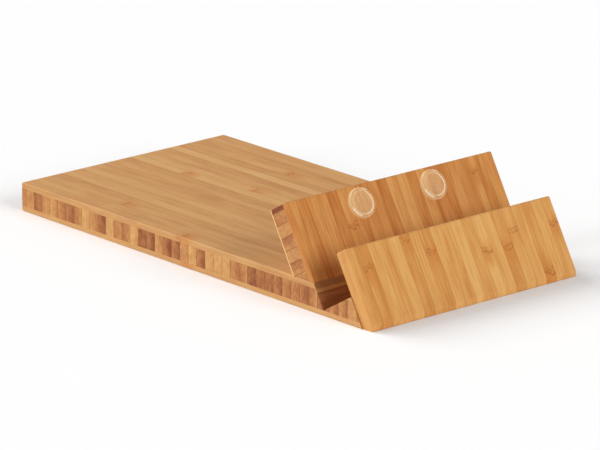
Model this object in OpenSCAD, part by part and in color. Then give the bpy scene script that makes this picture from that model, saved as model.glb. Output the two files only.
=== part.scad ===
// Hook-on bamboo tray: a laminated board with a slanted slot across one end.
// X runs along the board, Y across it, Z up. The origin is the centre of the box's underside.
// The plain end is at -X. Every panel is glued up from bamboo strips.

/* [Tray board] */
// Width of the board across the grain
tray_w = 180; // [140:1:220]
// Thickness of the board
board_t = 20; // [19.5:0.1:20.5]
// Thickness of the board's top ply
top_ply_t = 3.9; // [3.8:0.1:4.5]
// Thickness of the board's bottom ply
bottom_ply_t = 3.6; // [3.4:0.1:3.8]
// Plain end to the slot's upper edge on the inner side
slot_from_end = 301.5; // [240:0.5:360]

/* [Slot] */
// Lean of the slot and of both panels away from the vertical
lean = 30; // [28:1:31]
// Clear width between the two panels, square to them
slot_w = 30.3; // [29:0.1:31]

/* [Inner panel] */
// Thickness of the inner panel
inner_t = 18; // [16:0.5:20]
// Height of the inner panel along its slope, on the slot side
inner_h = 54.5; // [53:0.5:58]
// Thickness of its face ply, on the slot side
inner_face_t = 3.4; // [2.5:0.1:4]
// Thickness of its back ply, planed thin
inner_back_t = 1.6; // [1.2:0.1:3]
// Height of the partial core strip along its top edge
inner_first_strip = 3.5; // [2:0.1:4]

/* [Outer panel] */
// Thickness of the outer panel
outer_t = 9.8; // [8:0.1:12]
// Rise of the outer panel above the board's top, along its slope
outer_rise = 10.6; // [6:0.1:20]
// How far each end of the outer panel stops short of the board's side
outer_inset = 0.75; // [0.2:0.05:2]
// Height of the square face that trims the outer panel's toe
toe_h = 4.2; // [2:0.1:6]

/* [Strips] */
// Width of the crosswise core strips in the board
core_pitch = 8.55; // [7:0.05:12]
// Width of the first core strip, at the plain end
core_first = 6; // [3:0.5:8]
// Width of the core strip left at the slot's foot
heel_first = 5.8; // [5:0.1:7]
// Width of the last core strip, at the outer panel, along its lower edge
heel_last = 3.5; // [3:0.1:5]
// Height of the core strips in the inner panel, along the slope
inner_core_pitch = 8.4; // [8.2:0.1:8.8]
// Thickness of the glue line between strips that share a node
glue = 0.06; // [0.04:0.01:0.1]

/* [Bumpers] */
// Diameter of a bumper
bumper_d = 20.6; // [16:0.1:24]
// Height of a bumper above its adhesive
bumper_t = 2.8; // [2:0.1:4]
// Thickness of the adhesive disc
adhesive_t = 0.3; // [0.2:0.05:0.5]
// Distance between the bumpers' centres
bumper_spacing = 62.7; // [40:0.1:100]
// Bumper centre above the board's top, along the slope
bumper_up = 41.9; // [36:0.1:43]

/* [Dowels] */
// Diameter of the inner panel's dowels
inner_dowel_d = 8; // [6:0.5:8]
// Length of the inner panel's dowels
inner_dowel_l = 38; // [30:1:44]
// Diameter of the outer panel's dowels
outer_dowel_d = 5; // [4:0.5:5]
// Length of the outer panel's dowels
outer_dowel_l = 16; // [14:0.5:17]

/* [Hidden] */
$fn = 48;

// Strips that lie lengthwise in the board and up the slope in the panels
ply_strips = 21;
outer_strips = 20;
inner_core_strips = 7;
heel_strips = 5;
bore_clear = 0.05;

// Dowel places across the width
inner_dowel_y = [-60, 0, 60];
outer_dowel_y = [-66, -22, 22, 66];
// Foot of the inner dowels, below the slot's upper edge along the slope
inner_dowel_foot = 10.5;
// Part of each outer dowel that sits in the heel
outer_dowel_in_heel = 9.5;
// Height of the outer dowels' centre lines where they cross the joint
outer_dowel_z = 11;

slope_cos = cos(lean);
slope_tan = tan(lean);
slot_depth = (board_t - bottom_ply_t) / slope_cos;
core_top = board_t - top_ply_t;
outer_w = tray_w - 2 * outer_inset;
inner_core_back = inner_t - inner_back_t;

// The slot's upper inner edge, and the board's overall length, both measured from the plain end
outer_face_x = slot_from_end + (slot_w + outer_t) / slope_cos + board_t * slope_tan;
tray_l = outer_face_x - toe_h * slope_tan;
x_end = -tray_l / 2;
slot_x = x_end + slot_from_end;

// Horizontal places of the slanted planes at height z
function wall_x(z) = slot_x + (board_t - z) * slope_tan;
function joint_x(z) = wall_x(z) + slot_w / slope_cos;
// Where the slot's floor crosses height z
function floor_x(z) = wall_x(bottom_ply_t) + (z - bottom_ply_t) / slope_tan;
function two_digits(i) = i < 10 ? str("0", i) : str(i);

slot_foot_x = wall_x(bottom_ply_t);
heel_peak_x = slot_foot_x + slot_w * slope_cos;
heel_peak_z = bottom_ply_t + slot_w * sin(lean);
heel_pitch = (slot_w / slope_cos - heel_first - heel_last) / (heel_strips - 2);

// A profile drawn in X and Z, carried across the board from y0 to y1
module across(y0, y1) {
    translate([0, y1, 0]) rotate([90, 0, 0]) linear_extrude(y1 - y0) children();
}

// A profile cut into strips side by side, with a glue line between them
module in_strips(width, count) {
    pitch = width / count;
    for (i = [0:count - 1])
        across(-width / 2 + i * pitch + glue / 2, -width / 2 + (i + 1) * pitch - glue / 2) children();
}

// Places a profile on the slot's slope: its x runs square to the panels, its y up the slope
module on_slope() {
    translate([slot_x, board_t]) rotate(lean) children();
}

// The same place in space, for solids whose z runs up the slope
module stand_on_slope() {
    translate([slot_x, 0, board_t]) rotate([0, -lean, 0]) children();
}

// Half-space profile above the board's top, where the inner panel stands
module above_board() {
    translate([x_end, board_t]) square([tray_l, tray_l]);
}

module inner_dowels(extra) {
    for (y = inner_dowel_y)
        stand_on_slope() translate([-inner_t / 2, y, -inner_dowel_foot - extra])
            cylinder(d = inner_dowel_d + 2 * extra, h = inner_dowel_l + 2 * extra);
}

// The outer dowels lie square to the outer panel, across the joint with the heel
module outer_dowel(y, extra) {
    translate([joint_x(outer_dowel_z), y, outer_dowel_z]) rotate([0, 90 - lean, 0])
        translate([0, 0, -outer_dowel_in_heel - extra])
            cylinder(d = outer_dowel_d + 2 * extra, h = outer_dowel_l + 2 * extra);
}

module outer_dowels(extra) {
    for (y = outer_dowel_y) outer_dowel(y, extra);
}

module tray_top_ply() {
    color("tan") difference() {
        in_strips(tray_w, ply_strips) polygon([
            [x_end, core_top], [wall_x(core_top), core_top], [slot_x, board_t], [x_end, board_t]
        ]);
        inner_dowels(bore_clear);
    }
}

module tray_bottom_ply() {
    color("tan") in_strips(tray_w, ply_strips) polygon([
        [x_end, 0], [joint_x(0), 0], [joint_x(bottom_ply_t), bottom_ply_t], [x_end, bottom_ply_t]
    ]);
}

// One crosswise strip of the board's core, numbered from the plain end
module core_strip_profile(i) {
    left = i == 0 ? x_end : x_end + core_first + (i - 1) * core_pitch + glue;
    right = x_end + core_first + i * core_pitch;
    translate([left, bottom_ply_t]) square([right - left, core_top - bottom_ply_t]);
}

module tray_core() {
    wall = [
        [x_end, bottom_ply_t], [slot_foot_x, bottom_ply_t], [wall_x(core_top), core_top],
        [x_end, core_top]
    ];
    count = ceil((slot_foot_x - x_end - core_first) / core_pitch);
    color("peru") difference() {
        across(-tray_w / 2, tray_w / 2) intersection() {
            polygon(wall);
            union() for (i = [0:count]) core_strip_profile(i);
        }
        inner_dowels(bore_clear);
    }
}

// The core strips under the slot's floor, numbered away from the slot's foot
module heel_strip(i) {
    left = i == 1 ? slot_foot_x : slot_foot_x + heel_first + (i - 2) * heel_pitch;
    right = i == heel_strips ? joint_x(0) : slot_foot_x + heel_first + (i - 1) * heel_pitch;
    heel = [
        [slot_foot_x, bottom_ply_t], [joint_x(bottom_ply_t), bottom_ply_t], [joint_x(core_top), core_top],
        [floor_x(core_top), core_top]
    ];
    color("peru") difference() {
        across(-tray_w / 2, tray_w / 2) intersection() {
            polygon(heel);
            translate([left, 0]) square([right - left, board_t]);
        }
        outer_dowels(bore_clear);
    }
}

module heel_top_ply() {
    color("tan") in_strips(tray_w, ply_strips) polygon([
        [floor_x(core_top), core_top], [joint_x(core_top), core_top], [heel_peak_x, heel_peak_z]
    ]);
}

module inner_face_ply() {
    color("darkgoldenrod") in_strips(tray_w, ply_strips) intersection() {
        above_board();
        on_slope() translate([-inner_face_t, -slot_depth]) square([inner_face_t, inner_h + slot_depth]);
    }
}

module inner_back_ply() {
    color("darkgoldenrod") in_strips(tray_w, ply_strips) intersection() {
        above_board();
        on_slope() translate([-inner_t, -slot_depth]) square([inner_back_t, inner_h + slot_depth]);
    }
}

// The inner panel's core strips, numbered down from its top edge
module inner_core(i) {
    top = i == 1 ? inner_h : inner_h - inner_first_strip - (i - 2) * inner_core_pitch;
    bottom = i == inner_core_strips ? -slot_depth : inner_h - inner_first_strip - (i - 1) * inner_core_pitch;
    color("peru") difference() {
        across(-tray_w / 2, tray_w / 2) intersection() {
            above_board();
            on_slope() translate([-inner_core_back, bottom])
                square([inner_core_back - inner_face_t, top - bottom]);
        }
        inner_dowels(bore_clear);
    }
}

module outer_profile() {
    polygon([
        [joint_x(0), 0], [tray_l / 2, 0], [tray_l / 2, toe_h],
        [slot_x + (slot_w + outer_t) * slope_cos - outer_rise * sin(lean),
            board_t + (slot_w + outer_t) * sin(lean) + outer_rise * slope_cos],
        [slot_x + slot_w * slope_cos - outer_rise * sin(lean),
            board_t + slot_w * sin(lean) + outer_rise * slope_cos]
    ]);
}

// The outer panel's strips, numbered from -Y
module outer_strip(i) {
    pitch = outer_w / outer_strips;
    color("goldenrod") difference() {
        across(-outer_w / 2 + (i - 1) * pitch, -outer_w / 2 + i * pitch) outer_profile();
        outer_dowels(bore_clear);
    }
}

module inner_dowel(i) {
    color("burlywood") stand_on_slope()
        translate([-inner_t / 2, inner_dowel_y[i - 1], -inner_dowel_foot])
            cylinder(d = inner_dowel_d, h = inner_dowel_l);
}

// Places a round part on the inner panel's face, with its z standing off the face
module at_bumper(side) {
    stand_on_slope() translate([0, side * bumper_spacing / 2, bumper_up]) rotate([0, 90, 0]) children();
}

// Round cushion with a raised rim, a dished centre and a rounded shoulder
module bumper(side) {
    shoulder_r = 1.2;
    rim_in = bumper_d / 2 - 2.4;
    dish_depth = 0.8;
    color("whitesmoke", 0.5) at_bumper(side) translate([0, 0, adhesive_t]) difference() {
        rotate_extrude($fn = 96) {
            square([bumper_d / 2 - shoulder_r, bumper_t]);
            square([bumper_d / 2, bumper_t - shoulder_r]);
            translate([bumper_d / 2 - shoulder_r, bumper_t - shoulder_r]) circle(r = shoulder_r);
        }
        translate([0, 0, bumper_t - dish_depth]) cylinder(r = rim_in, h = bumper_t);
    }
}

module adhesive(side) {
    color("white", 0.5) at_bumper(side) cylinder(d = bumper_d - 1.4, h = adhesive_t);
}

tray_top_ply();
tray_core();
tray_bottom_ply();
heel_top_ply();
for (i = [1:heel_strips])
    heel_strip(i);
inner_face_ply();
inner_back_ply();
for (i = [1:inner_core_strips])
    inner_core(i);
for (i = [1:outer_strips])
    outer_strip(i);
for (i = [1:len(inner_dowel_y)])
    inner_dowel(i);
for (i = [1:len(outer_dowel_y)])
    color("burlywood") outer_dowel(outer_dowel_y[i - 1], 0);
bumper(-1);  // bumper_left
bumper(1);  // bumper_right
adhesive(-1);  // adhesive_left
adhesive(1);  // adhesive_right
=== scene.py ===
"""Bamboo hook-on tray: a laminated board with a slanted slot between two leaning panels."""
import math
import random

import bpy
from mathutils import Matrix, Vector


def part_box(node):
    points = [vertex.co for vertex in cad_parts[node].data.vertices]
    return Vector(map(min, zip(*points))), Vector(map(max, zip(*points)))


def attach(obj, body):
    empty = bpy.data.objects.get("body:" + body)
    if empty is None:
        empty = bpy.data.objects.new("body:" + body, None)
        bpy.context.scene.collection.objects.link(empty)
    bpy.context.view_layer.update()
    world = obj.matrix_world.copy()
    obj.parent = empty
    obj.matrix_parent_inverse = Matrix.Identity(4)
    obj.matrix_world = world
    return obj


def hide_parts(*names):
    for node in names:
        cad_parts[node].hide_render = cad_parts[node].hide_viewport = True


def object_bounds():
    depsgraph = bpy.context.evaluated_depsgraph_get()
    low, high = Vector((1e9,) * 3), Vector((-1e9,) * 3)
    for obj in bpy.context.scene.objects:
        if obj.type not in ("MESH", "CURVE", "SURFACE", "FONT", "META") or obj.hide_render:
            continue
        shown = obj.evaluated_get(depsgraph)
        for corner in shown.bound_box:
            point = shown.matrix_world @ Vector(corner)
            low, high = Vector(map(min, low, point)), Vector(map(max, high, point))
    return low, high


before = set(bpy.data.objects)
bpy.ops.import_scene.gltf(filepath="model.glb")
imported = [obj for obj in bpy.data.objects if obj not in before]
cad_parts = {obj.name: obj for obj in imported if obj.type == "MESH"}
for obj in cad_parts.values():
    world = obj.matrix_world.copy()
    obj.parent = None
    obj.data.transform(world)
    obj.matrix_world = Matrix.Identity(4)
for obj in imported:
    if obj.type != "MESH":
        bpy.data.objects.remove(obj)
cad_low, cad_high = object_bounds()

MM = 0.001

# Sizes read off the frame

top_low, top_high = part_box("tray_top_ply")
core_low, core_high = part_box("tray_core")
base_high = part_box("tray_bottom_ply")[1]
face_low, face_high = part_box("inner_face_ply")
back_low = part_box("inner_back_ply")[0]
outer_low, outer_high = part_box("outer_strip_01")
last_outer_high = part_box("outer_strip_20")[1]
bumper_low, bumper_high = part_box("bumper_left")

BOARD_END = core_low.x
BOARD_TOP = top_high.z
CORE_TOP = top_low.z
BASE_TOP = base_high.z
SIDE = core_high.y
LEAN = math.atan((core_high.x - top_high.x) / (CORE_TOP - BASE_TOP))
UP = Vector((-math.sin(LEAN), 0, math.cos(LEAN)))
OUT = Vector((math.cos(LEAN), 0, math.sin(LEAN)))
ALONG = Vector((1, 0, 0))
ACROSS = Vector((0, 1, 0))
RISE = Vector((0, 0, 1))

# The slot's upper inner edge, and the foot of its inner wall
EDGE = Vector((top_high.x - (BOARD_TOP - CORE_TOP) * math.tan(LEAN), 0, BOARD_TOP))
FOOT = Vector((core_high.x, 0, BASE_TOP))
FLAT_WALL_X = EDGE.x + BOARD_TOP * math.tan(LEAN)
SLOT_WIDTH = (base_high.x - FLAT_WALL_X) * math.cos(LEAN)

INNER_HEIGHT = (face_high.z - BOARD_TOP) / math.cos(LEAN)
INNER_TOP_X = EDGE.x - INNER_HEIGHT * math.sin(LEAN)
INNER_THICK = (INNER_TOP_X - back_low.x) / math.cos(LEAN)
FACE_PLY = (INNER_TOP_X - face_low.x) / math.cos(LEAN)
BACK_PLY = INNER_THICK - (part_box("inner_core_1")[0].x - INNER_TOP_X) / -math.cos(LEAN)

OUTER_SIDE = last_outer_high.y
OUTER_RISE = (EDGE.x + SLOT_WIDTH * math.cos(LEAN) - outer_low.x) / math.sin(LEAN)
OUTER_TOP_Z = BOARD_TOP + SLOT_WIDTH * math.sin(LEAN) + OUTER_RISE * math.cos(LEAN)
OUTER_THICK = (outer_high.z - OUTER_TOP_Z) / math.sin(LEAN)

BUMPER_RADIUS = (bumper_high.y - bumper_low.y) / 2

# Shades that the strips are picked in, from dark to pale, and each layer's strips in order.
# The darkest is kept for the strip along the inner panel's top edge.
# Layers are told from the -Y side, the board's core from the plain end, the inner core from its top.
SHADES = {"k": 0.02, "e": 0.24, "d": 0.33, "m": 0.50, "l": 0.66, "p": 0.84}
TOP_LAYUP = "mmmdlmlmdmdplmdpdmdmm"
BASE_LAYUP = "lmpmdmllmdmpmldmmlpml"
FACE_LAYUP = "mdmmdlmmmdlpdlddmmlml"
BACK_LAYUP = "plmdmlplmdmmlpmdlmmlm"
OUTER_LAYUP = "ddlmldmdlmpmpldlldlm"
CORE_LAYUP = "mldllmdmplepmmpeeledlpdpppmmedddmmdmd"
HEEL_LAYUP = "dmmlm"
INNER_CORE_LAYUP = "kmlmlmm"
# How much paler the top edge's strip is along its length than at its ends
LONG_FACE_PALER = 0.40

# Knuckles in millimetres from a strip's own end, for the strips that have one in sight
TOP_KNUCKLES = {0: 170, 2: 88, 11: 60, 12: 121, 17: 108}
FACE_KNUCKLES = {5: 27, 18: 12}
OUTER_KNUCKLES = {1: 17, 5: 5, 7: 17, 12: 25, 14: 27, 15: 18, 17: 50, 19: 19}
NO_KNUCKLE = 2000

# Widths of the core's strips, the first of each being what the saw left
CORE_FIRST = 6.0 * MM
CORE_PITCH = 8.55 * MM
INNER_FIRST = 3.5 * MM
INNER_PITCH = 8.4 * MM

# How far an outside face lies from its strip's middle, where 1 is a glue line
OUTSIDE = 0.9

# Rounding of the outside edges
END_EASE = 2.0 * MM
LONG_EASE = 0.45
PANEL_EASE = 1.2 * MM
TOE_EASE = 0.4
EASE_ROUNDS = 4

# Spare length left on a blank for the saw
BOARD_SPARE = 10 * MM
INNER_SPARE = 20 * MM
OUTER_SPARE = 80 * MM

# Edges sharper than this stay sharp
SHARP_ANGLE = math.radians(32)

# Two things closer than this touch
TOUCH = 1e-6
SAW_TOUCH = 1e-7

chance = random.Random(7)


# Bench work

def select_only(piece):
    bpy.ops.object.select_all(action="DESELECT")
    piece.select_set(True)
    bpy.context.view_layer.objects.active = piece


def block(name, centre, size, turn=0.0):
    """A squared block of bamboo, turned about the board's width."""
    bpy.ops.object.select_all(action="DESELECT")
    bpy.ops.mesh.primitive_cube_add(size=1, location=centre, rotation=(0, turn, 0), scale=size)
    piece = bpy.context.active_object
    piece.name = name
    bpy.ops.object.transform_apply(location=True, rotation=True, scale=True)
    return piece


def copy_of(piece, name):
    made = piece.copy()
    made.data = piece.data.copy()
    made.name = name
    bpy.context.scene.collection.objects.link(made)
    return made


def discard(*pieces):
    for piece in pieces:
        bpy.data.objects.remove(piece)


def ease(piece, width, share):
    """Rounds each edge by its share of the width, told from the edge's two ends."""
    mesh = piece.data
    weights = mesh.attributes.new("bevel_weight_edge", "FLOAT", "EDGE")
    for edge in mesh.edges:
        a, b = (mesh.vertices[i].co for i in edge.vertices)
        weights.data[edge.index].value = share(a, b)
    select_only(piece)
    rounding = piece.modifiers.new("rounding", "BEVEL")
    rounding.limit_method = "WEIGHT"
    rounding.width = width
    rounding.segments = EASE_ROUNDS
    bpy.ops.object.modifier_apply(modifier=rounding.name)


def saw(piece, point, normal):
    """Cuts along the plane and takes away the side that the normal points to, where there is any."""
    if all((v.co - Vector(point)).dot(normal) < SAW_TOUCH for v in piece.data.vertices):
        return
    select_only(piece)
    bpy.ops.object.mode_set(mode="EDIT")
    bpy.ops.mesh.select_all(action="SELECT")
    bpy.ops.mesh.bisect(
        plane_co=point, plane_no=normal, use_fill=True, clear_inner=False, clear_outer=True,
        threshold=SAW_TOUCH
    )
    bpy.ops.object.mode_set(mode="OBJECT")


def strip_from(blank, name, start, end, normal):
    """The stretch of a blank between two parallel planes."""
    piece = copy_of(blank, name)
    saw(piece, start, -normal)
    saw(piece, end, normal)
    return piece


def mark_grain(strip, origin, grain, across, low, high, shade, knuckle, low_side=-1, high_side=1):
    """Writes on a strip where its fibres run, where its two glued edges are, its shade and its knuckle."""
    through = grain.cross(across)
    half = (high - low) / (high_side - low_side)
    middle = low - low_side * half
    offset = Vector((chance.uniform(0, 900), chance.uniform(0, 90), chance.uniform(0, 90)))
    bias = chance.uniform(-1, 1)
    fibres, marks, joints = [], [], []
    for v in strip.data.vertices:
        place = v.co - origin
        along = place.dot(grain) / MM
        side = place.dot(across)
        fibres.extend(offset + Vector((along, side / MM, place.dot(through) / MM)))
        marks.extend((SHADES[shade], (side - middle) / half, bias))
        joints.append(along - knuckle)
    write(strip.data, "grain", "FLOAT_VECTOR", "vector", fibres)
    write(strip.data, "strip", "FLOAT_VECTOR", "vector", marks)
    ends = [max(0.0, abs(face.normal.dot(grain)) * 2 - 1) for face in strip.data.polygons]
    write(strip.data, "knuckle", "FLOAT", "value", joints)
    write(strip.data, "end_grain", "FLOAT", "value", ends, "FACE")


def write(mesh, name, kind, field, values, domain="POINT"):
    mesh.attributes.new(name, kind, domain)
    mesh.attributes[name].data.foreach_set(field, values)


def join(name, strips):
    bpy.ops.object.select_all(action="DESELECT")
    for strip in strips:
        strip.select_set(True)
    bpy.context.view_layer.objects.active = strips[0]
    bpy.ops.object.join()
    strips[0].name = name
    return strips[0]


def finish_piece(piece, material, slot, *nodes):
    """Smooths the eased edges, keeps the flats flat, and puts the piece in place of its nodes."""
    select_only(piece)
    bpy.ops.object.mode_set(mode="EDIT")
    bpy.ops.mesh.select_all(action="SELECT")
    bpy.ops.mesh.normals_make_consistent(inside=False)
    bpy.ops.object.mode_set(mode="OBJECT")
    bpy.ops.object.shade_smooth_by_angle(angle=SHARP_ANGLE)
    flats = piece.modifiers.new("flats", "WEIGHTED_NORMAL")
    flats.keep_sharp = True
    bpy.ops.object.modifier_apply(modifier=flats.name)
    piece.data.materials.clear()
    piece.data.materials.append(material)
    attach(piece, "root")
    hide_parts(*nodes)


# Finishes

def blend_tree(name):
    material = bpy.data.materials.new(name)
    material.use_nodes = True
    tree = material.node_tree
    return material, tree, tree.nodes["Principled BSDF"]


def put(tree, kind, inputs=(), **settings):
    """Adds a node. Inputs are values or sockets, in the node's own order or by name."""
    made = tree.nodes.new(kind)
    for key, value in settings.items():
        setattr(made, key, value)
    pairs = inputs.items() if isinstance(inputs, dict) else enumerate(inputs)
    for key, value in pairs:
        if isinstance(value, bpy.types.NodeSocket):
            tree.links.new(value, made.inputs[key])
        else:
            made.inputs[key].default_value = value
    return made


def sums(tree, operation, *values):
    return put(tree, "ShaderNodeMath", values, operation=operation).outputs[0]


def between(tree, value, low, high, start=0.0, end=1.0):
    """Carries value from low..high to start..end, smoothly and clamped."""
    node = put(tree, "ShaderNodeMapRange", (value, low, high, start, end), interpolation_type="SMOOTHSTEP")
    return node.outputs[0]


def noise(tree, place, stretch, detail=2.0, roughness=0.5):
    """Noise with its own fineness along, across and through the strip."""
    moved = put(tree, "ShaderNodeMapping", {"Vector": place, "Scale": stretch}).outputs[0]
    made = put(tree, "ShaderNodeTexNoise", {
        "Vector": moved, "Scale": 1.0, "Detail": detail, "Roughness": roughness
    })
    return made.outputs[0]


def tinted(tree, amount, first, second):
    """Goes from the first colour to the second by the amount."""
    made = put(tree, "ShaderNodeMix", data_type="RGBA", blend_type="MIX")
    for key, value in ((0, amount), (6, first), (7, second)):
        if isinstance(value, bpy.types.NodeSocket):
            tree.links.new(value, made.inputs[key])
        else:
            made.inputs[key].default_value = value
    return made.outputs[2]


def colour(red, green, blue):
    """An sRGB colour, 0 to 255, as the linear one that the shader takes."""
    linear = [c / 3294.6 if c <= 10 else ((c / 255 + 0.055) / 1.055) ** 2.4 for c in (red, green, blue)]
    return (*linear, 1.0)


# Fineness of the patterns in the cane, in cycles per millimetre along, across and through a strip
CLOUD = (0.035, 0.20, 0.20)
STREAK = (0.022, 0.70, 0.30)
FIBRE = (0.05, 3.2, 1.6)
PORE = (0.22, 4.2, 4.2)
WAVE = (0.10, 0.26, 0.26)
BREAK = (0.30, 0.20, 0.20)
GLUE_SPREAD = (0.03, 0.5, 0.08)

# A knuckle's two lines, as millimetres back from its middle and strength, and the patch round it
KNUCKLE_LINES = ((0.0, 1.0), (2.4, 0.7))
LINE_DEPTH = 0.52
WAVE_HEIGHT = 1.8
ARCH_HEIGHT = 1.2
PATCH_MIDDLE = 2.0
PATCH_REACH = 13.0
PATCH_DEPTH = 0.6

RUSSET = colour(197, 116, 44)
KNUCKLE_BROWN = colour(150, 80, 30)
GLUE_BROWN = colour(128, 68, 36)
END_BROWN = colour(118, 60, 28)


def bamboo(name, dark, middle, pale, mottle, lean_in, glue, end_depth, gloss, shine):
    """Lacquered bamboo: each strip's own shade, fibre streaks, pores, a knuckle and glue lines.

    mottle is how much the shade wanders in a strip, lean_in how much it falls from one edge to the other,
    glue how dark the glue lines are, end_depth how much darker a cut end is, gloss the roughness and shine
    the strength of the reflection.
    """
    material, tree, surface = blend_tree(name)
    place = put(tree, "ShaderNodeAttribute", attribute_name="grain").outputs["Vector"]
    strip = put(tree, "ShaderNodeAttribute", attribute_name="strip").outputs["Vector"]
    from_knuckle = put(tree, "ShaderNodeAttribute", attribute_name="knuckle").outputs["Fac"]
    shade, side, bias = put(tree, "ShaderNodeSeparateXYZ", (strip,)).outputs[:3]

    cloud = noise(tree, place, CLOUD, 3.0, 0.55)
    streak = noise(tree, place, STREAK, 3.0, 0.62)
    fibre = noise(tree, place, FIBRE)
    pore = noise(tree, place, PORE, 1.0)

    # The cane is denser towards its outer wall, so a strip is darker along one edge
    drift = sums(tree, "MULTIPLY", sums(tree, "MULTIPLY", side, bias), lean_in)
    tone = sums(tree, "ADD", shade, drift)
    tone = sums(tree, "ADD", tone, between(tree, cloud, 0.3, 0.7, -1.3 * mottle, 1.3 * mottle))
    tone = sums(tree, "ADD", tone, between(tree, streak, 0.3, 0.7, -1.5 * mottle, 1.5 * mottle))
    tone = sums(tree, "ADD", tone, between(tree, fibre, 0.3, 0.7, -0.08, 0.08))
    tone = sums(tree, "ADD", tone, between(tree, pore, 0.62, 0.76, 0.0, -0.16))
    ramp = put(tree, "ShaderNodeValToRGB", (tone,))
    ramp.color_ramp.elements[0].color = dark
    ramp.color_ramp.elements[1].color = pale
    ramp.color_ramp.elements.new(0.5).color = middle
    body = ramp.outputs[0]

    # A knuckle: two broken wavy lines across the strip, in a patch of deeper orange
    arch = sums(tree, "MULTIPLY", sums(tree, "MULTIPLY", side, side), ARCH_HEIGHT)
    wave = noise(tree, place, WAVE, 2.0, 0.6)
    wobble = between(tree, wave, 0.25, 0.75, -WAVE_HEIGHT, WAVE_HEIGHT)
    reach = sums(tree, "ADD", sums(tree, "ADD", from_knuckle, arch), wobble)
    patchy = between(tree, cloud, 0.35, 0.65, 0.3, 1.0)
    from_patch = sums(tree, "ABSOLUTE", sums(tree, "SUBTRACT", reach, PATCH_MIDDLE))
    patch = between(tree, from_patch, 1.0, PATCH_REACH, PATCH_DEPTH, 0.0)
    body = tinted(tree, sums(tree, "MULTIPLY", patch, patchy), body, RUSSET)
    lines = 0.0
    for offset, strength in KNUCKLE_LINES:
        away = sums(tree, "ABSOLUTE", sums(tree, "ADD", reach, offset))
        lines = sums(tree, "MAXIMUM", lines, between(tree, away, 0.25, 0.95, strength, 0.0))
    broken = between(tree, noise(tree, place, BREAK), 0.36, 0.52, 0.1, 1.0)
    lines = sums(tree, "MULTIPLY", sums(tree, "MULTIPLY", lines, broken), LINE_DEPTH)
    body = tinted(tree, lines, body, KNUCKLE_BROWN)

    # The glue line along each edge of the strip
    seam = between(tree, sums(tree, "ABSOLUTE", side), 0.86, 1.0, 0.0, glue)
    uneven = between(tree, noise(tree, place, GLUE_SPREAD), 0.38, 0.6, 0.35, 1.0)
    body = tinted(tree, sums(tree, "MULTIPLY", seam, uneven), body, GLUE_BROWN)

    # Cut ends drink more lacquer and are darker
    end = put(tree, "ShaderNodeAttribute", attribute_name="end_grain").outputs["Fac"]
    body = tinted(tree, sums(tree, "MULTIPLY", end, end_depth), body, END_BROWN)

    tree.links.new(body, surface.inputs["Base Color"])
    rough = between(tree, streak, 0.2, 0.8, gloss - 0.05, gloss + 0.07)
    tree.links.new(rough, surface.inputs["Roughness"])
    relief = sums(tree, "SUBTRACT", sums(tree, "MULTIPLY", fibre, 0.5), sums(tree, "MULTIPLY", lines, 0.6))
    bump = put(tree, "ShaderNodeBump", {"Strength": 0.3, "Distance": 0.00012, "Height": relief})
    tree.links.new(bump.outputs[0], surface.inputs["Normal"])
    surface.inputs["Specular IOR Level"].default_value = shine
    return material


def band(tree, value, centre, half, strength):
    """A soft-edged band of the given strength round a centre."""
    away = sums(tree, "ABSOLUTE", sums(tree, "SUBTRACT", value, centre))
    return between(tree, away, half * 0.4, half, strength, 0.0)


def facing(tree, spoke, radius, side, start, end):
    """Rises from 0 to 1 as a point on a bumper turns towards the given side."""
    along = put(tree, "ShaderNodeVectorMath", (spoke, side), operation="DOT_PRODUCT").outputs["Value"]
    return between(tree, sums(tree, "DIVIDE", along, radius), start, end, 0.0, 1.0)


# Painted highlights on the clear rubber: a painted ring of light on the dish's lip, two short painted arcs
# near its shoulder and one painted spark, all fixed on the rubber, not cast by the lamps.
# Radii are in millimetres, and sides are across and up the panel.
SHOULDER = 1.2 * MM
RIM = 2.4 * MM
LIP_RADIUS = (BUMPER_RADIUS - RIM) / MM
EDGE_RADIUS = BUMPER_RADIUS / MM - 0.2
OUTER_ARC = BUMPER_RADIUS / MM - 0.6
INNER_ARC = BUMPER_RADIUS / MM - 1.7
SPARK_RADIUS = BUMPER_RADIUS / MM - 0.8
GLEAM_SIDE = (-0.78, -0.63, 0)
LIP_SIDE = (0.9, -0.44, 0)
SPARK_SIDE = (0.45, 0.89, 0)
FLAT = (1, 1, 0)
OFF_PANEL = (0, 0, 1)
# The rubber's own tint, then the cream of its painted highlights
RUBBER_TINT = (1.0, 0.86, 0.52, 1.0)
RUBBER_PAINTED_HIGHLIGHT = (1.0, 0.88, 0.64, 1.0)
RUBBER_IOR = 1.49


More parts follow.
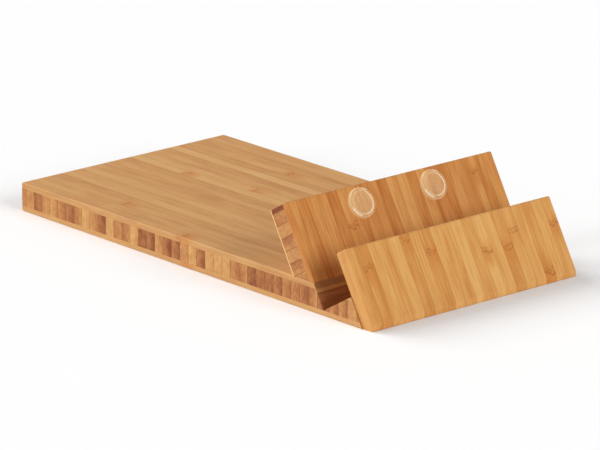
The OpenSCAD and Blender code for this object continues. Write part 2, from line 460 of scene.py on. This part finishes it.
def clear_rubber():
    """Soft clear polyurethane, with highlights painted on the lip of the dish and in the rounded shoulder.
    """
    material, tree, surface = blend_tree("clear_rubber")
    place = put(tree, "ShaderNodeTexCoord").outputs["Object"]
    spoke = put(tree, "ShaderNodeAttribute", attribute_name="spoke").outputs["Vector"]
    flat = put(tree, "ShaderNodeVectorMath", (spoke, FLAT), operation="MULTIPLY").outputs["Vector"]
    radius = put(tree, "ShaderNodeVectorMath", (flat,), operation="LENGTH").outputs["Value"]
    height = put(tree, "ShaderNodeVectorMath", (spoke, OFF_PANEL), operation="DOT_PRODUCT").outputs["Value"]
    cloud = noise(tree, place, (240, 240, 240))

    # The masks below mark where highlights are painted on the rubber; the colour and opacity follow them
    lip_side = sums(tree, "MULTIPLY", 0.6, facing(tree, spoke, radius, LIP_SIDE, -0.2, 0.9))
    lip = sums(tree, "MULTIPLY", band(tree, radius, LIP_RADIUS, 0.7, 1.0), sums(tree, "ADD", 0.3, lip_side))
    arcs = sums(
        tree, "ADD", band(tree, radius, OUTER_ARC, 0.6, 1.0), band(tree, radius, INNER_ARC, 0.45, 0.6)
    )
    gleam = sums(tree, "MULTIPLY", arcs, facing(tree, spoke, radius, GLEAM_SIDE, 0.82, 0.97))
    spark_side = facing(tree, spoke, radius, SPARK_SIDE, 0.95, 0.99)
    spark = sums(tree, "MULTIPLY", band(tree, radius, SPARK_RADIUS, 0.7, 0.9), spark_side)
    painted_highlights = sums(tree, "MAXIMUM", lip, sums(tree, "MAXIMUM", gleam, spark))

    # The painted highlights go on the upper faces only, not the foot
    painted_bright = sums(tree, "MULTIPLY", painted_highlights, between(tree, height, 0.4, 1.2, 0.0, 1.0))
    rim = band(tree, radius, EDGE_RADIUS, 0.6, 0.3)
    haze = between(tree, cloud, 0.3, 0.7, 0.05, 0.09)
    clear = sums(tree, "ADD", haze, sums(tree, "MAXIMUM", rim, sums(tree, "MULTIPLY", painted_bright, 0.75)))
    tree.links.new(clear, surface.inputs["Alpha"])
    tree.links.new(tinted(tree, painted_bright, RUBBER_TINT, RUBBER_PAINTED_HIGHLIGHT), surface.inputs["Base Color"])
    tree.links.new(between(tree, cloud, 0.3, 0.7, 0.05, 0.12), surface.inputs["Roughness"])
    surface.inputs["IOR"].default_value = RUBBER_IOR
    return material


def adhesive_film():
    """Clear film that lightens the bamboo behind it."""
    material, tree, surface = blend_tree("adhesive_film")
    place = put(tree, "ShaderNodeTexCoord").outputs["Object"]
    speckle = noise(tree, place, (900, 900, 900))
    tint = tinted(tree, speckle, (1.0, 0.82, 0.46, 1.0), (1.0, 0.76, 0.40, 1.0))
    tree.links.new(tint, surface.inputs["Base Color"])
    tree.links.new(between(tree, speckle, 0.3, 0.7, 0.5, 0.65), surface.inputs["Roughness"])
    tree.links.new(between(tree, speckle, 0.3, 0.7, 0.07, 0.11), surface.inputs["Alpha"])
    surface.inputs["Specular IOR Level"].default_value = 0.2
    return material


def dowel_beech():
    """Plain turned hardwood, with its grain along the dowel."""
    material, tree, surface = blend_tree("dowel_beech")
    place = put(tree, "ShaderNodeTexCoord").outputs["Object"]
    grain = noise(tree, place, (900, 1400, 260), 3.0)
    tint = tinted(tree, grain, colour(196, 158, 112), colour(222, 190, 148))
    tree.links.new(tint, surface.inputs["Base Color"])
    tree.links.new(between(tree, grain, 0.3, 0.7, 0.55, 0.7), surface.inputs["Roughness"])
    return material


BOARD_FACE = bamboo(
    "board_bamboo", colour(186, 128, 76), colour(203, 150, 92), colour(213, 166, 106),
    mottle=0.12, lean_in=0.10, glue=0.25, end_depth=0.7, gloss=0.46, shine=0.2
)
CORE_END = bamboo(
    "core_bamboo", colour(128, 68, 40), colour(183, 122, 73), colour(214, 165, 101),
    mottle=0.07, lean_in=0.24, glue=0.8, end_depth=0.0, gloss=0.6, shine=0.15
)
INNER_FACE = bamboo(
    "inner_bamboo", colour(184, 108, 46), colour(206, 138, 71), colour(222, 164, 93),
    mottle=0.13, lean_in=0.12, glue=0.3, end_depth=0.5, gloss=0.42, shine=0.2
)
OUTER_FACE = bamboo(
    "outer_bamboo", colour(196, 126, 58), colour(213, 152, 82), colour(225, 172, 102),
    mottle=0.13, lean_in=0.12, glue=0.25, end_depth=0.3, gloss=0.38, shine=0.25
)
BACK_FACE = bamboo(
    "back_bamboo", colour(206, 142, 80), colour(222, 166, 102), colour(240, 194, 134),
    mottle=0.12, lean_in=0.10, glue=0.25, end_depth=0.3, gloss=0.44, shine=0.2
)


# The board

def board_edges(a, b):
    """The plain end's edges are rounded fully, the long ones less."""
    if abs(a.x - BOARD_END) < TOUCH and abs(b.x - BOARD_END) < TOUCH:
        return 1.0
    lengthwise_edge = abs(a.y - b.y) < TOUCH and abs(a.z - b.z) < TOUCH
    return LONG_EASE if lengthwise_edge else 0.0


def board_blank():
    reach = base_high.x + BOARD_SPARE
    centre = ((BOARD_END + reach) / 2, 0, BOARD_TOP / 2)
    blank = block("board_blank", centre, (reach - BOARD_END, 2 * SIDE, BOARD_TOP))
    ease(blank, END_EASE, board_edges)
    saw(blank, EDGE + OUT * SLOT_WIDTH, OUT)
    return blank


def laths(blank, name, side, layup, knuckles, origin, grain):
    """Cuts a blank into laths side by side across the board, and discards the blank."""
    width = 2 * side / len(layup)
    made = []
    for i, shade in enumerate(layup):
        left = -side + i * width
        strip = strip_from(blank, f"{name}_{i + 1:02d}", ACROSS * left, ACROSS * (left + width), ACROSS)
        low_side = -OUTSIDE if i == 0 else -1
        high_side = OUTSIDE if i == len(layup) - 1 else 1
        knuckle = knuckles.get(i, NO_KNUCKLE)
        mark_grain(strip, origin, grain, ACROSS, left, left + width, shade, knuckle, low_side, high_side)
        made.append(strip)
    discard(blank)
    return made


def ply(blank, name, layup, knuckles, origin, grain, material, slot, node):
    finish_piece(join(name, laths(blank, name, SIDE, layup, knuckles, origin, grain)), material, slot, node)


def tray_plies(blank):
    start = Vector((BOARD_END, 0, 0))
    spread = {i: chance.uniform(20, 500) for i in range(len(BASE_LAYUP))}
    top = copy_of(blank, "top_layer")
    saw(top, (0, 0, CORE_TOP), -RISE)

    sliver = copy_of(top, "sliver_layer")
    saw(sliver, EDGE, -OUT)
    saw(sliver, FOOT, UP)
    ply(sliver, "heel_sliver", TOP_LAYUP, {}, start, ALONG, BOARD_FACE, "board_bamboo", "heel_top_ply")

    saw(top, EDGE, OUT)
    ply(top, "top_ply", TOP_LAYUP, TOP_KNUCKLES, start, ALONG, BOARD_FACE, "board_bamboo", "tray_top_ply")

    base = copy_of(blank, "base_layer")
    saw(base, (0, 0, BASE_TOP), RISE)
    ply(base, "base_ply", BASE_LAYUP, spread, start, ALONG, BOARD_FACE, "board_bamboo", "tray_bottom_ply")


def cross_strip(blank, name, start, end, shade, low_side=-1):
    """One core strip, with its fibres across the board."""
    strip = strip_from(blank, name, ALONG * start, ALONG * end, ALONG)
    origin = Vector((0, 0, BASE_TOP))
    mark_grain(strip, origin, ACROSS, ALONG, start, end, shade, NO_KNUCKLE, low_side)
    return strip


def tray_core(blank):
    core = copy_of(blank, "core_layer")
    saw(core, (0, 0, BASE_TOP), -RISE)
    saw(core, (0, 0, CORE_TOP), RISE)
    heel = copy_of(core, "heel_layer")

    saw(core, EDGE, OUT)
    start = BOARD_END
    strips = []
    for i, shade in enumerate(CORE_LAYUP):
        end = BOARD_END + CORE_FIRST + i * CORE_PITCH
        strips.append(cross_strip(core, f"core_{i}", start, end, shade, -OUTSIDE if i == 0 else -1))
        start = end
    discard(core)
    finish_piece(join("core", strips), CORE_END, "core_bamboo", "tray_core")

    saw(heel, FOOT, UP)
    for i, shade in enumerate(HEEL_LAYUP, start=1):
        low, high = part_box(f"heel_strip_{i}")
        strip = cross_strip(heel, f"heel_block_{i}", low.x, high.x, shade)
        finish_piece(strip, CORE_END, "core_bamboo", f"heel_strip_{i}")
    discard(heel)


# The two leaning panels

def on_slope(out, up):
    """A point of the slot's own section, square to the panels and up the slope from the slot's edge."""
    return EDGE + OUT * out + UP * up


def out_of(point):
    return (point - EDGE).dot(OUT)


def up_of(point):
    return (point - EDGE).dot(UP)


def leaning_block(name, out_low, out_high, up_low, up_high, side):
    centre = on_slope((out_low + out_high) / 2, (up_low + up_high) / 2)
    return block(name, centre, (out_high - out_low, 2 * side, up_high - up_low), -LEAN)


def inner_edges(a, b):
    """Rounds the top and the long edges of both ends."""
    at_top = abs(up_of(a) - INNER_HEIGHT) < TOUCH and abs(up_of(b) - INNER_HEIGHT) < TOUCH
    up_the_end = abs(a.y - b.y) < TOUCH and abs(out_of(a) - out_of(b)) < TOUCH
    return 1.0 if at_top or up_the_end else 0.0


def inner_panel():
    blank = leaning_block("inner_blank", -INNER_THICK, 0, -INNER_SPARE, INNER_HEIGHT, SIDE)
    ease(blank, PANEL_EASE, inner_edges)
    saw(blank, (0, 0, BOARD_TOP), -RISE)
    top = on_slope(0, INNER_HEIGHT)

    face = copy_of(blank, "face_layer")
    saw(face, on_slope(-FACE_PLY, 0), -OUT)
    ply(
        face, "face_ply", FACE_LAYUP, FACE_KNUCKLES, top, -UP,
        INNER_FACE, "inner_panel_bamboo", "inner_face_ply"
    )

    back = copy_of(blank, "back_layer")
    saw(back, on_slope(-INNER_THICK + BACK_PLY, 0), OUT)
    ply(back, "back_ply", BACK_LAYUP, {}, top, -UP, BACK_FACE, "inner_panel_bamboo", "inner_back_ply")

    saw(blank, on_slope(-FACE_PLY, 0), OUT)
    saw(blank, on_slope(-INNER_THICK + BACK_PLY, 0), -OUT)
    high = INNER_HEIGHT
    for i, shade in enumerate(INNER_CORE_LAYUP):
        low = INNER_HEIGHT - INNER_FIRST - i * INNER_PITCH
        strip = strip_from(blank, f"inner_block_{i + 1}", on_slope(0, low), on_slope(0, high), UP)
        high_side = OUTSIDE if i == 0 else 1
        mark_grain(strip, EDGE, ACROSS, UP, low, high, shade, NO_KNUCKLE, -1, high_side)
        if i == 0:
            lighten_long_faces(strip)
        finish_piece(strip, CORE_END, "core_bamboo", f"inner_core_{i + 1}")
        high = low
    discard(blank)


def lighten_long_faces(strip):
    """The long faces drink less lacquer than the cut ends and stay paler."""
    marks = strip.data.attributes["strip"].data
    for v in strip.data.vertices:
        if abs(v.co.y) < SIDE - PANEL_EASE / 2:
            marks[v.index].vector.x += LONG_FACE_PALER


def outer_edges(a, b):
    """Rounds the top, the front and the toe, and leaves the glued face sharp."""
    at_top = abs(up_of(a) - OUTER_RISE) < TOUCH and abs(up_of(b) - OUTER_RISE) < TOUCH
    glued_face = out_of(a) < SLOT_WIDTH + TOUCH and out_of(b) < SLOT_WIDTH + TOUCH
    at_toe = a.z < TOUCH and b.z < TOUCH
    if at_top:
        return 1.0
    if glued_face:
        return 0.0
    return TOE_EASE if at_toe else 1.0


def outer_panel():
    blank = leaning_block(
        "outer_blank", SLOT_WIDTH, SLOT_WIDTH + OUTER_THICK, -OUTER_SPARE, OUTER_RISE, OUTER_SIDE
    )
    saw(blank, (0, 0, 0), -RISE)
    saw(blank, ALONG * cad_high.x, ALONG)
    ease(blank, PANEL_EASE, outer_edges)
    top = on_slope(SLOT_WIDTH + OUTER_THICK, OUTER_RISE)
    made = laths(blank, "outer_lath", OUTER_SIDE, OUTER_LAYUP, OUTER_KNUCKLES, top, -UP)
    for i, lath in enumerate(made, start=1):
        finish_piece(lath, OUTER_FACE, "outer_panel_bamboo", f"outer_strip_{i:02d}")


# The bumpers and their adhesive

DISH_DEPTH = 0.8 * MM
DISH_RINGS = 5
SHOULDER_ROUNDS = 6
FILM_ROUNDS = 2
DISC_SIDES = 96
# Hair's breadth that keeps two clear faces apart
FILM_GAP = 0.03 * MM


def select_top(piece, height, middle):
    """Picks the flat round face that lies at the given height off the panel."""
    bpy.ops.object.mode_set(mode="EDIT")
    bpy.ops.mesh.select_mode(type="FACE")
    bpy.ops.mesh.select_all(action="DESELECT")
    bpy.ops.object.mode_set(mode="OBJECT")
    for face in piece.data.polygons:
        face.select = abs((face.center - middle).dot(OUT) - height) < TOUCH and face.normal.dot(OUT) > 0.9
    bpy.ops.object.mode_set(mode="EDIT")


def turned_disc(name, foot, radius, height, corner, rounds):
    """A disc that stands off the panel on its foot, with its outer corner rounded."""
    bpy.ops.object.select_all(action="DESELECT")
    bpy.ops.mesh.primitive_cylinder_add(
        vertices=DISC_SIDES, radius=radius, depth=height, location=foot + OUT * height / 2,
        rotation=(0, math.pi / 2 - LEAN, 0)
    )
    piece = bpy.context.active_object
    piece.name = name
    bpy.ops.object.transform_apply(location=True, rotation=True, scale=True)
    select_top(piece, height, foot)
    bpy.ops.mesh.bevel(offset=corner, segments=rounds, affect="EDGES")
    bpy.ops.object.mode_set(mode="OBJECT")
    return piece


def let_light_through(piece):
    """Clear things leave the bamboo behind them lit."""
    piece.visible_shadow = False


def bumper(side, rubber, film):
    low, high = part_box(f"adhesive_{side}")
    film_radius = (high.y - low.y) / 2
    film_height = (high.x - low.x - 2 * film_radius * math.sin(LEAN)) / math.cos(LEAN)
    middle = (low + high) / 2
    panel = middle - OUT * film_height / 2

    thin = film_height - 2 * FILM_GAP
    disc = turned_disc(f"film_{side}", panel + OUT * FILM_GAP, film_radius, thin, thin / 3, FILM_ROUNDS)
    finish_piece(disc, film, "adhesive_film", f"adhesive_{side}")
    let_light_through(disc)

    foot = panel + OUT * film_height
    flat_radius = BUMPER_RADIUS - SHOULDER
    shoulder_rise = bumper_high.z - foot.z - SHOULDER - flat_radius * math.cos(LEAN)
    height = shoulder_rise / math.sin(LEAN) + SHOULDER
    cushion = turned_disc(f"cushion_{side}", foot, BUMPER_RADIUS, height, SHOULDER, SHOULDER_ROUNDS)
    select_top(cushion, height, foot)
    bpy.ops.mesh.inset(thickness=RIM - SHOULDER)
    dish = BUMPER_RADIUS - RIM
    for ring in range(DISH_RINGS):
        bpy.ops.mesh.inset(thickness=dish / (DISH_RINGS + 1))
        outer = 1 - ring / (DISH_RINGS + 1)
        inner = 1 - (ring + 1) / (DISH_RINGS + 1)
        bpy.ops.transform.translate(value=OUT * -DISH_DEPTH * (outer ** 2 - inner ** 2))
    bpy.ops.object.mode_set(mode="OBJECT")
    spokes = [v.co - foot for v in cushion.data.vertices]
    parts = [spoke.dot(side_way) / MM for spoke in spokes for side_way in (ACROSS, UP, OUT)]
    write(cushion.data, "spoke", "FLOAT_VECTOR", "vector", parts)
    finish_piece(cushion, rubber, "bumper_clear", f"bumper_{side}")
    let_light_through(cushion)


def dowels(material):
    """The dowels keep their own turned shape and only get their wood."""
    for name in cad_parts:
        if "dowel" in name:
            bpy.data.objects[name].data.materials.clear()
            bpy.data.objects[name].data.materials.append(material)


# The studio

CAMERA_TURN = math.radians(48.6)
CAMERA_RISE = math.radians(17.0)
CAMERA_AWAY = 3.346
AIM = Vector((0.0215, 0.010, 0.010))
FOCAL_LENGTH = 302.5
SHIFT_X = -0.0432
SHIFT_Y = 0.0121
FAR_ENOUGH = 60

WHITE = (1.0, 1.0, 1.0, 1.0)
FLOOR_WHITE = (0.96, 0.96, 0.96, 1.0)
FLOOR_ROUGHNESS = 0.9
FLOOR_SIZE = 40
SKY_STRENGTH = 0.33
SUN_SPREAD = math.radians(32)
# Each soft light's turn round the tray and rise above it, in degrees, and its strength
SUNS = {"front": (95, 25, 0.52), "side": (-20, 20, 0.37), "back": (-75, 38, 0.59)}


def studio_floor():
    bpy.ops.object.select_all(action="DESELECT")
    bpy.ops.mesh.primitive_plane_add(size=FLOOR_SIZE, location=(0, 0, cad_low.z))
    floor = bpy.context.active_object
    floor.name = "studio_floor"
    material, tree, surface = blend_tree("pale_floor")
    surface.inputs["Base Color"].default_value = FLOOR_WHITE
    surface.inputs["Roughness"].default_value = FLOOR_ROUGHNESS
    floor.data.materials.append(material)


def soft_sun(name, turn, rise, strength):
    """Even soft light from the side that the turn looks from."""
    lamp = bpy.data.lights.new(name, "SUN")
    lamp.angle = SUN_SPREAD
    lamp.energy = strength * math.pi
    holder = bpy.data.objects.new(name, lamp)
    holder.rotation_euler = direction(turn, rise).to_track_quat("-Z", "Y").to_euler()
    bpy.context.scene.collection.objects.link(holder)


def direction(turn, rise):
    """The way something looks from the given turn round the tray and rise above it."""
    return Vector((-math.sin(turn) * math.cos(rise), math.cos(turn) * math.cos(rise), -math.sin(rise)))


def lights():
    world = bpy.data.worlds.new("studio")
    world.use_nodes = True
    sky = world.node_tree.nodes["Background"]
    sky.inputs["Color"].default_value = WHITE
    sky.inputs["Strength"].default_value = SKY_STRENGTH
    bpy.context.scene.world = world
    for name, (turn, rise, strength) in SUNS.items():
        soft_sun(name, math.radians(turn), math.radians(rise), strength)


def camera():
    lens = bpy.data.cameras.new("camera")
    lens.lens = FOCAL_LENGTH
    lens.shift_x = SHIFT_X
    lens.shift_y = SHIFT_Y
    lens.clip_end = FAR_ENOUGH
    holder = bpy.data.objects.new("camera", lens)
    towards = direction(CAMERA_TURN, CAMERA_RISE)
    holder.location = AIM - towards * CAMERA_AWAY
    holder.rotation_euler = towards.to_track_quat("-Z", "Y").to_euler()
    bpy.context.scene.collection.objects.link(holder)
    bpy.context.scene.camera = holder


blank_board = board_blank()
tray_plies(blank_board)
tray_core(blank_board)
discard(blank_board)
inner_panel()
outer_panel()
rubber_finish = clear_rubber()
film_finish = adhesive_film()
for hand in ("left", "right"):
    bumper(hand, rubber_finish, film_finish)
dowels(dowel_beech())
studio_floor()
lights()
camera()
bpy.context.scene.view_settings.view_transform = "Standard"
